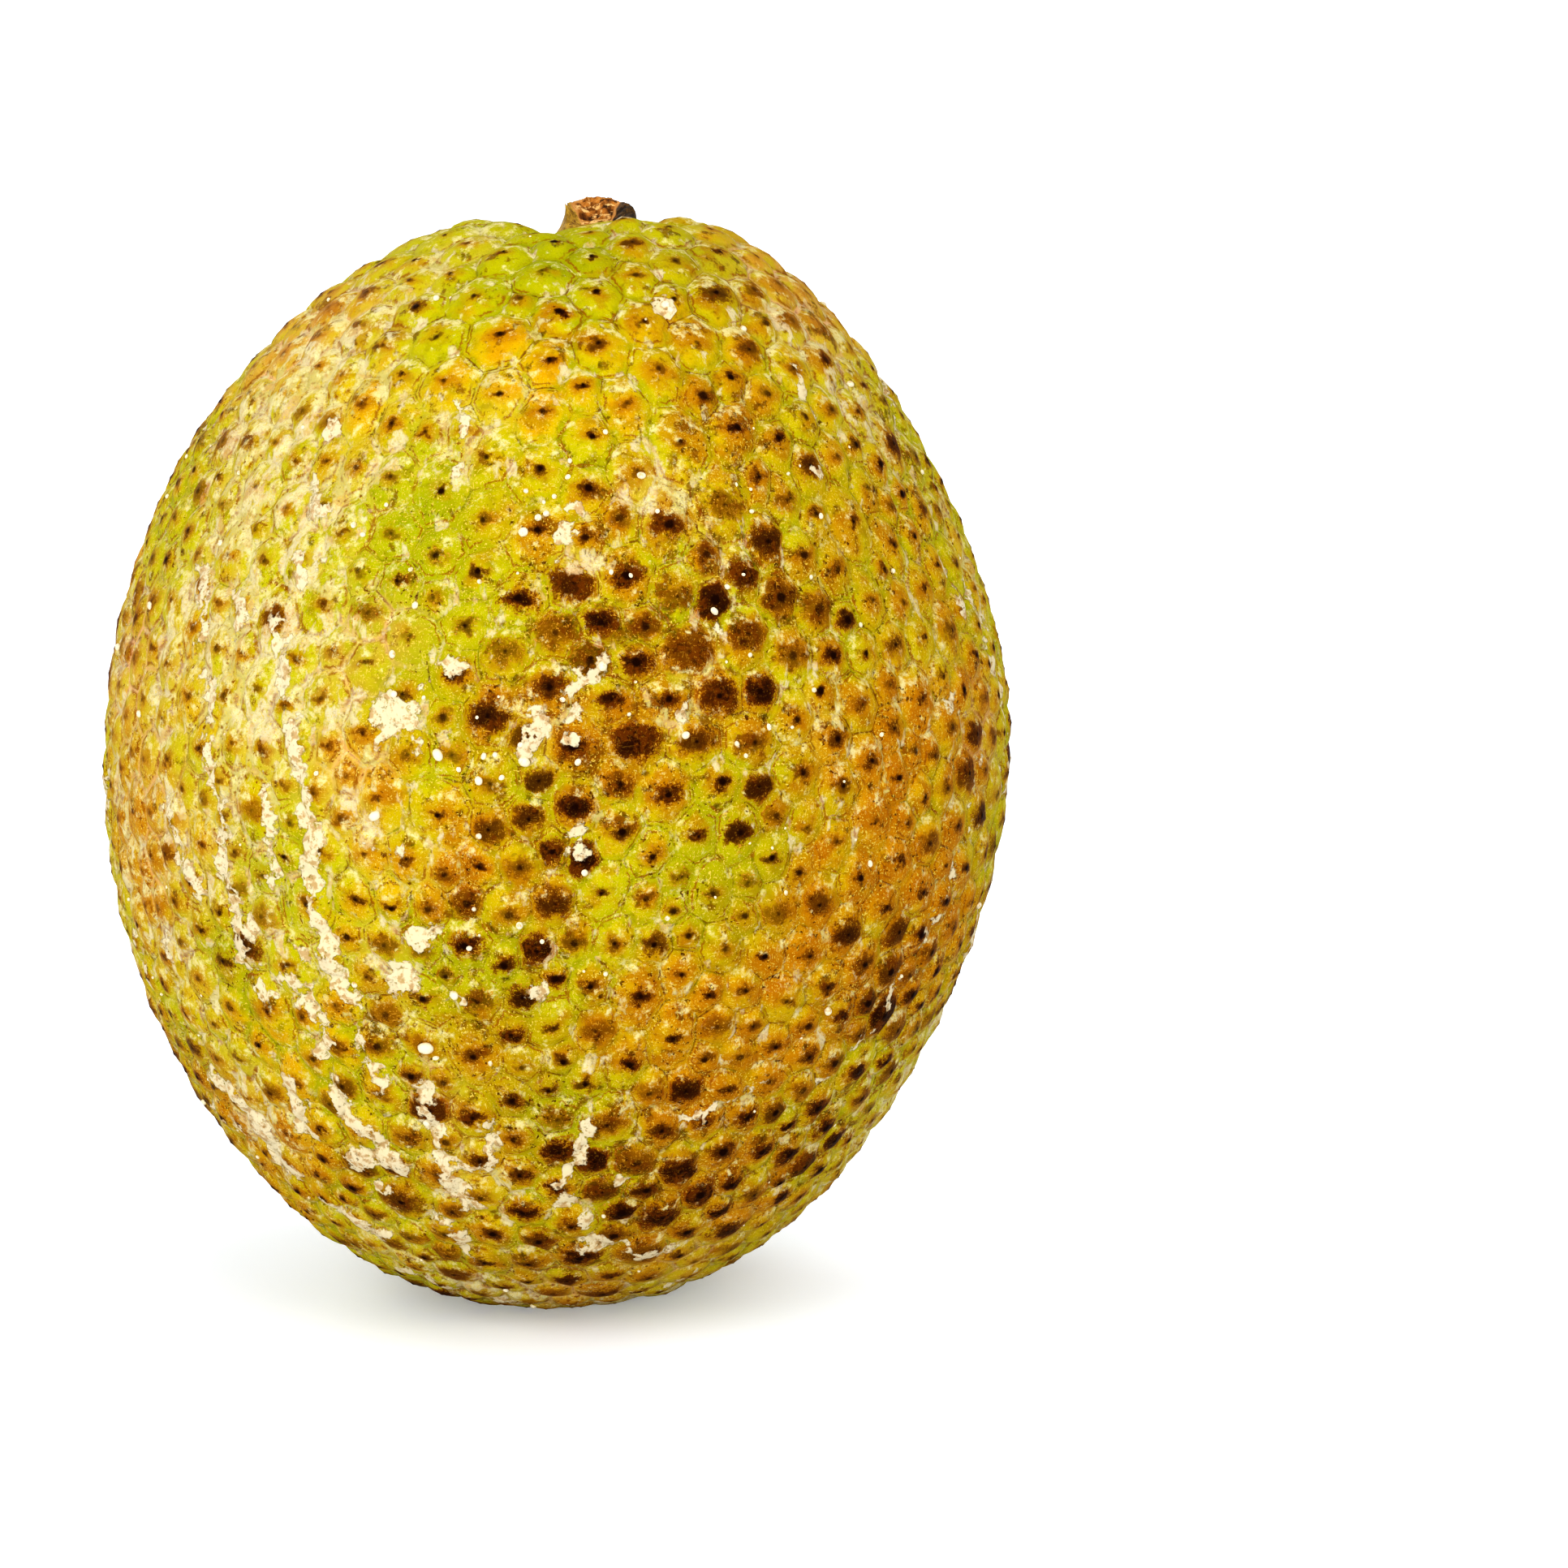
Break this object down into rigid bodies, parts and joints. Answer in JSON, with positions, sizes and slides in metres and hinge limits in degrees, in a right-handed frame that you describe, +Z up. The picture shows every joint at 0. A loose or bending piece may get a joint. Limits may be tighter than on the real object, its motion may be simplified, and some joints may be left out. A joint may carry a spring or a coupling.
{
  "type": "breadfruit",
  "caption": "Whole ripe breadfruit, egg-shaped, with a skin of low polygonal areoles and a broken stalk stub in the hollow at its top, standing on its blossom end.",
  "frame": {"origin": "middle of the flat spot on the blossom end that the fruit rests on", "axes": "+Z up to the stalk, -Y the front, +X the side that the crown leans to"},
  "size_m": [0.1447, 0.1457, 0.1763],
  "materials": {
    "fruit_skin": "waxy yellow-green plant skin with brown areole tips and dried cream latex",
    "stalk_bark": "rough broken plant fibre with olive bark"
  },
  "bodies": {
    "root": {"fruit": "fruit_skin", "stalk": "stalk_bark"}
  },
  "joints": []
}
